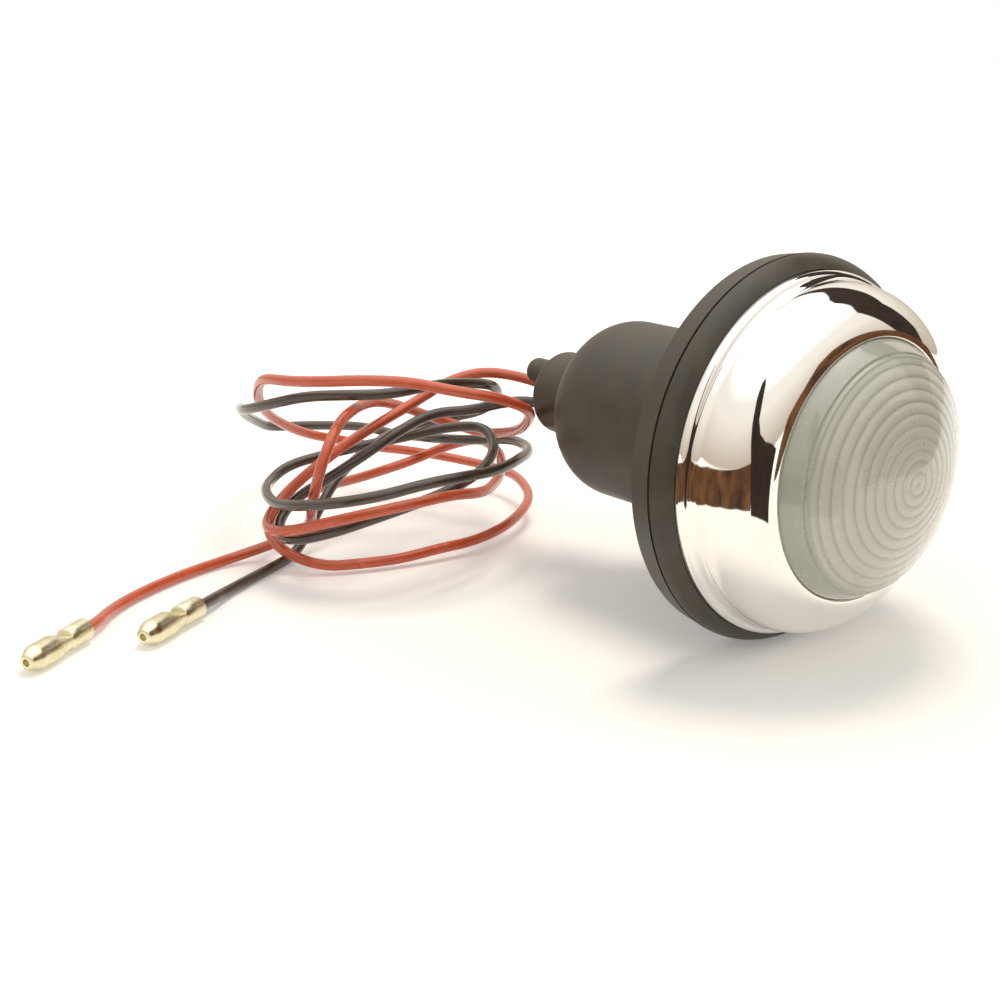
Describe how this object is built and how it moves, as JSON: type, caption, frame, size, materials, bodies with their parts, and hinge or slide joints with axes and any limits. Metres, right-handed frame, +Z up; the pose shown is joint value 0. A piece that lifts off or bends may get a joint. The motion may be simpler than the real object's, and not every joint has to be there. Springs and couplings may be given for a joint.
{
  "type": "car side light",
  "caption": "Round side light with a rubber body that seats in a panel hole, a bright rim, a ringed glass dome and wires with bullet terminals.",
  "frame": {"origin": "centre of the flange's rear face, where the light seats on a panel", "axes": "+X along the lamp's axis out of the glass, +Z up, +Y to the side"},
  "size_m": [0.1821, 0.1638, 0.076],
  "materials": {
    "rubber": "satin",
    "chrome": "polished",
    "lens_glass": "clear",
    "steel": "plated",
    "brass": "bright",
    "insulator": "matte",
    "bulb_glass": "clear",
    "red_pvc": "satin",
    "black_pvc": "satin"
  },
  "bodies": {
    "root": {"rubber_body": "rubber", "chrome_rim": "chrome", "lens": "lens_glass", "base_plate": "steel", "bulb_holder": "steel", "contact_carrier": "insulator", "contact_tip": "brass", "contact_spring": "steel", "spring_washer": "steel", "earth_tag": "brass", "earth_rivet": "steel", "bulb_cap": "brass", "bulb_contact": "steel", "bulb_glass": "bulb_glass", "bulb_filament": "steel", "red_wire": "red_pvc", "black_wire": "black_pvc", "red_wire_inner": "red_pvc", "black_wire_inner": "black_pvc", "red_bullet": "brass", "black_bullet": "brass"}
  },
  "joints": []
}
